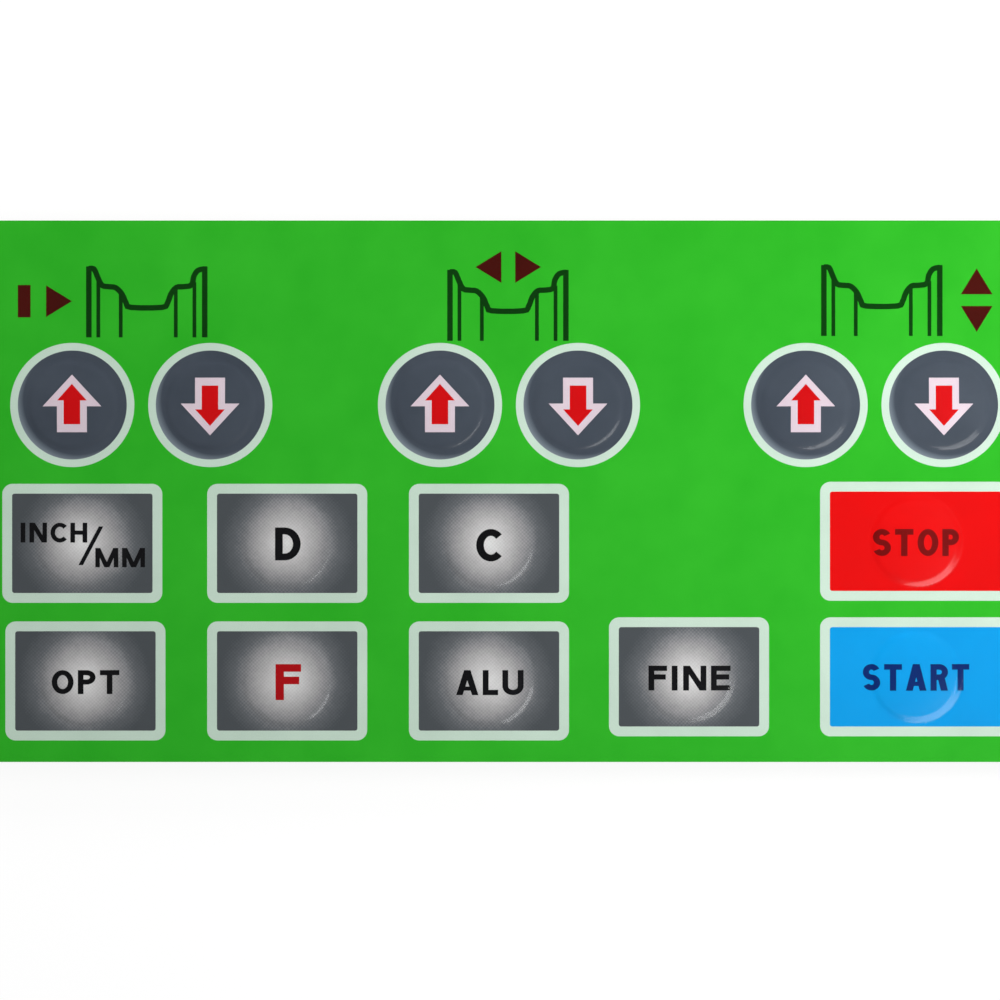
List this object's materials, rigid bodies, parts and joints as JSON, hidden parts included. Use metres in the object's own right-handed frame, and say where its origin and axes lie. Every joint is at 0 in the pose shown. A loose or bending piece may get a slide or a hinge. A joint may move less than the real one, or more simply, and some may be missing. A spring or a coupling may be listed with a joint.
{
  "type": "membrane keypad panel",
  "caption": "Flat keypad panel with an embossed printed film, snap domes, a rigid circuit board, a rear flat-cable connector and a foam gasket.",
  "frame": {"origin": "middle of the rear gasket's lower face, on the surface that the keypad lies on", "axes": "+X along the panel towards the two wide keys, +Y towards the row of round keys, +Z out of the front film"},
  "size_m": [0.154, 0.0786, 0.0057],
  "materials": {
    "clear_film": "gloss",
    "green_ink": "gloss",
    "white_ink": "gloss",
    "grey_ink": "gloss",
    "slate_ink": "gloss",
    "red_ink": "gloss",
    "blue_ink": "gloss",
    "sign_line_ink": "gloss",
    "sign_arrow_ink": "gloss",
    "adhesive": "matt",
    "spacer": "satin",
    "dome_steel": "satin",
    "board": "solder mask",
    "gold": "plated",
    "masked_copper": "solder mask over copper",
    "hole_plating": "plated",
    "connector_plastic": "moulded",
    "tinned": "tin plated",
    "foam": "closed-cell foam"
  },
  "bodies": {
    "root": {"overlay_film": "clear_film", "green_print": "green_ink", "white_print": "white_ink", "grey_print": "grey_ink", "slate_print": "slate_ink", "red_print": "red_ink", "blue_print": "blue_ink", "sign_line_print": "sign_line_ink", "sign_arrow_print": "sign_arrow_ink", "overlay_adhesive": "adhesive", "dome_spacer": "spacer", "circuit_board": "board", "front_copper": "gold", "rear_copper": "masked_copper", "plated_holes": "hole_plating", "connector_housing": "connector_plastic", "connector_tab_left": "tinned", "connector_tab_right": "tinned", "rear_gasket": "foam", "snap_dome_1": "dome_steel", "snap_dome_2": "dome_steel", "snap_dome_3": "dome_steel", "snap_dome_4": "dome_steel", "snap_dome_5": "dome_steel", "snap_dome_6": "dome_steel", "snap_dome_7": "dome_steel", "snap_dome_8": "dome_steel", "snap_dome_9": "dome_steel", "snap_dome_10": "dome_steel", "snap_dome_11": "dome_steel", "snap_dome_12": "dome_steel", "snap_dome_13": "dome_steel", "snap_dome_14": "dome_steel", "snap_dome_15": "dome_steel", "connector_contact_1": "tinned", "connector_contact_2": "tinned", "connector_contact_3": "tinned", "connector_contact_4": "tinned", "connector_contact_5": "tinned", "connector_contact_6": "tinned", "connector_contact_7": "tinned", "connector_contact_8": "tinned", "connector_contact_9": "tinned", "connector_contact_10": "tinned"}
  },
  "joints": []
}
